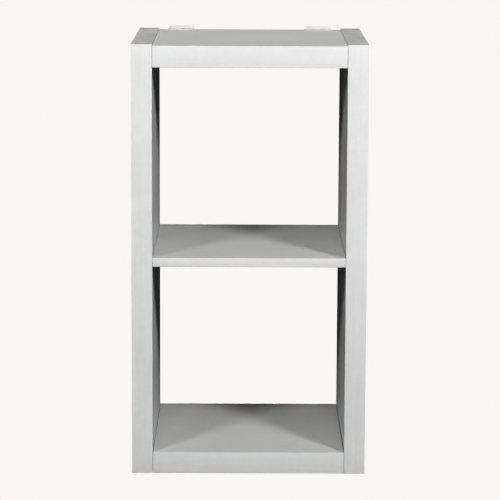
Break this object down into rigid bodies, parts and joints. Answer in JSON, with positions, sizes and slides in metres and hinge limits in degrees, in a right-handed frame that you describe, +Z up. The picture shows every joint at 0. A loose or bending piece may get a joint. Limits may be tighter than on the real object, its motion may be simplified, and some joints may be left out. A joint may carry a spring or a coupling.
{
  "type": "cube storage unit",
  "caption": "Open-backed two-cube storage unit: thick hollow-core side panels and top and bottom boards, a thin fixed shelf, and wall brackets at the top rear.",
  "frame": {"origin": "middle of the footprint, on the floor", "axes": "+Z up, -Y out of the open front, +X to the unit's right as seen from the front"},
  "size_m": [0.415, 0.39, 0.769],
  "materials": {
    "white_foil_board": "satin white foil on fibreboard and particleboard",
    "raw_particleboard": "sawn, uncoated",
    "honeycomb_paper": "brown recycled paper",
    "beech": "turned, uncoated",
    "zinc_plated_steel": "bright zinc plate",
    "white_enamelled_steel": "white stove enamel, satin"
  },
  "bodies": {
    "root": {"bottom_board_core": "honeycomb_paper", "bottom_board_front_edge_band": "white_foil_board", "bottom_board_front_rail": "raw_particleboard", "bottom_board_left_block": "raw_particleboard", "bottom_board_lower_face": "white_foil_board", "bottom_board_rear_edge_band": "white_foil_board", "bottom_board_rear_rail": "raw_particleboard", "bottom_board_right_block": "raw_particleboard", "bottom_board_upper_face": "white_foil_board", "bracket_screws": "white_enamelled_steel", "corner_dowels": "beech", "frame_screws": "zinc_plated_steel", "left_side_bottom_block": "raw_particleboard", "left_side_bottom_edge_band": "white_foil_board", "left_side_front_edge_band": "white_foil_board", "left_side_front_stile": "raw_particleboard", "left_side_inner_face": "white_foil_board", "left_side_lower_core": "honeycomb_paper", "left_side_middle_block": "raw_particleboard", "left_side_outer_face": "white_foil_board", "left_side_rear_edge_band": "white_foil_board", "left_side_rear_stile": "raw_particleboard", "left_side_top_block": "raw_particleboard", "left_side_top_edge_band": "white_foil_board", "left_side_upper_core": "honeycomb_paper", "right_side_bottom_block": "raw_particleboard", "right_side_bottom_edge_band": "white_foil_board", "right_side_front_edge_band": "white_foil_board", "right_side_front_stile": "raw_particleboard", "right_side_inner_face": "white_foil_board", "right_side_lower_core": "honeycomb_paper", "right_side_middle_block": "raw_particleboard", "right_side_outer_face": "white_foil_board", "right_side_rear_edge_band": "white_foil_board", "right_side_rear_stile": "raw_particleboard", "right_side_top_block": "raw_particleboard", "right_side_top_edge_band": "white_foil_board", "right_side_upper_core": "honeycomb_paper", "shelf_board": "white_foil_board", "shelf_dowels": "beech", "shelf_front_edge_band": "white_foil_board", "shelf_rear_edge_band": "white_foil_board", "top_board_core": "honeycomb_paper", "top_board_front_edge_band": "white_foil_board", "top_board_front_rail": "raw_particleboard", "top_board_left_block": "raw_particleboard", "top_board_lower_face": "white_foil_board", "top_board_rear_edge_band": "white_foil_board", "top_board_rear_rail": "raw_particleboard", "top_board_right_block": "raw_particleboard", "top_board_upper_face": "white_foil_board", "wall_bracket_left": "white_enamelled_steel", "wall_bracket_right": "white_enamelled_steel"}
  },
  "joints": []
}
